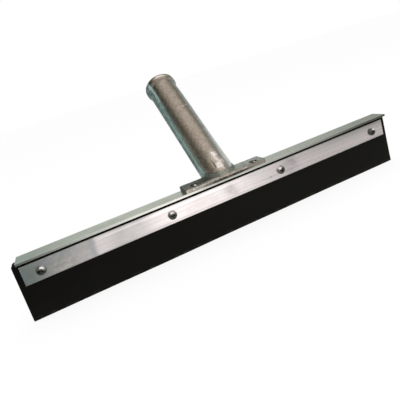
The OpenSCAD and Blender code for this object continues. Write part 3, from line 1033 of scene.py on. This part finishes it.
def flat(name, wide, tall, stand):
    """A flat rectangle round a place, facing its Z, with an empty material of its own."""
    signs = ((-1, -1), (1, -1), (1, 1), (-1, 1))
    corners = [stand @ Vector((x * wide / 2, y * tall / 2, 0)) for x, y in signs]
    mesh = bpy.data.meshes.new(name)
    mesh.from_pydata(corners, [], [(0, 1, 2, 3)])
    material = bpy.data.materials.new(name)
    material.use_nodes = True
    material.node_tree.nodes.clear()
    mesh.materials.append(material)
    return put(name, mesh), Recipe(material.node_tree)


floor_wide, floor_gap = 16, 0.0004
floor, paper = flat("floor", floor_wide, floor_wide, Matrix.Translation((0, 0, -floor_gap)))
matt = paper.node("BsdfDiffuse", None, {"Color": (0.92, 0.92, 0.92, 1)})
glow = paper.node("Emission", None, {"Color": (1, 1, 1, 1), "Strength": 1.0})
mixed = paper.node("MixShader", None, {0: 0.86 * seen(paper), 1: matt, 2: glow})
paper.node("OutputMaterial", None, {0: mixed})
print("the floor is", floor_wide, "m wide")

# %% [markdown]
# The world is white in the same way. To other rays it is an even, slightly dimmer light.

# %% World
world = bpy.data.worlds.new("white_room")
scene.world = world
world.use_nodes = True
world.node_tree.nodes.clear()
room = Recipe(world.node_tree)
dim = room.node("Background", None, {"Color": (0.97, 1.0, 0.98, 1), "Strength": 0.95})
white = room.node("Background", None, {"Color": (1, 1, 1, 1), "Strength": 1.0})
shown = room.node("MixShader", None, {0: seen(room), 1: dim, 2: white})
room.node("OutputWorld", None, {0: shown})
print("the world has", len(world.node_tree.nodes), "nodes")

# %% [markdown]
# ## Studio cards
# Bare metal shows what stands round it, and in an all white room it looks like paper. So cards
# stand round it as in a studio, seen only in reflections. A grey one above and one in front, with
# a bright pool, are for the casting and the strip. Those behind are green-grey, lighter on the
# right, for the angle's top. The others draw the bands along the tube: pale, green and dark ones
# on the left, a grey and a white one on the right.

# %% Cards
def card(name, middle, towards, wide, tall, colour, pool=None):
    """A flat card facing a point, that only mirrored rays meet. A pool of light is a second colour and
    four places along X: it rises between the first two and falls between the others."""
    board, tint = flat(f"card_{name}", wide, tall, aimed(middle, towards, "Z"))
    shade = (*colour, 1)
    if pool:
        light, places = pool
        x = tint.axes()[0]
        shade = tint.blend(tint.step(x, *places[:2]) * (1 - tint.step(x, *places[2:])), colour, light)
    glow = tint.node("Emission", None, {"Color": shade})
    tint.node("OutputMaterial", None, {0: glow})
    for ray in ("camera", "diffuse", "shadow", "transmission"):
        setattr(board, f"visible_{ray}", False)
    print("card", name, "is", wide, "by", tall, "m")


centre = (0, 0.07, 0.12)
card("over", (0, 0, 1.7), (0, 0, 0), 4.5, 4.5, (0.4, 0.4, 0.37))
card("front", (0.05, -0.42, 0.001), (0.05, -0.42, 1), 2.2, 0.78, (0.12, 0.125, 0.12),
     ((0.535, 0.51, 0.5), (-0.27, -0.15, 0.5, 0.8)))
card("front_pool", (-0.02, -0.4, 0.002), (-0.02, -0.4, 1), 0.4, 0.72, (0.64, 0.615, 0.605),
     ((1.3, 1.25, 1.23), (-0.2, -0.02, 0.03, 0.14)))
card("behind", (0.3, 0.75, 0.3), (0.3, 0, 0.3), 3.2, 0.7, (0.3, 0.325, 0.295),
     ((0.62, 0.635, 0.585), (-0.5, -0.05, 0.1, 1.1)))
card("floor_behind", (0.2, 0.4, 0.001), (0.2, 0.4, 1), 2.6, 0.68, (0.42, 0.47, 0.45))
card("right_edge", (0.48, 0.74, 0.09), (0.48, 0, 0.09), 0.4, 0.2, (0.8, 0.84, 0.82))
card("over_left", (-0.62, 0.1, 1.29), (-0.62, 0.1, 0), 0.6, 1.3, (0.3, 0.29, 0.26),
     ((0.9, 0.87, 0.84), (-0.9, -0.3, 1, 2)))
card("left_flank", (-0.55, 0.62, 0.2), centre, 0.5, 0.6, (0.46, 0.64, 0.61))
card("left_high", (-0.64, 0.38, 0.67), centre, 0.7, 0.6, (0.03, 0.034, 0.024))
card("right_high", (0.66, 0.42, 0.63), centre, 0.36, 0.5, (0.26, 0.27, 0.26))
card("right_side", (0.18, 0.23, 0.215), (0.02, 0.09, 0.145), 0.2, 0.06, (0.85, 0.87, 0.84))

# %% [markdown]
# ## Light
# One large soft lamp hangs over the blade, a little to the right, and a weaker one fills from the
# front left. A single small lamp would throw hard shadows, which the photograph has none of.
# Together with the world they light a white card to about white, so a colour renders as written.

# %% Lamps
def soft_lamp(name, middle, wide, watts, colour):
    """A square area lamp aimed at the blade."""
    lamp = bpy.data.lights.new(name, "AREA")
    lamp.size = wide
    lamp.energy = watts
    lamp.color = colour
    put(name, lamp).matrix_world = aimed(middle, (0, 0, 0.06), "-Z")
    print(name, "gives", watts, "watts")


soft_lamp("lamp_over", (0.3, -0.05, 1.3), 1.25, 4.5, (1.0, 0.97, 0.95))
soft_lamp("lamp_front", (-0.3, -1.3, 0.9), 0.8, 3.0, (1.0, 0.98, 0.97))
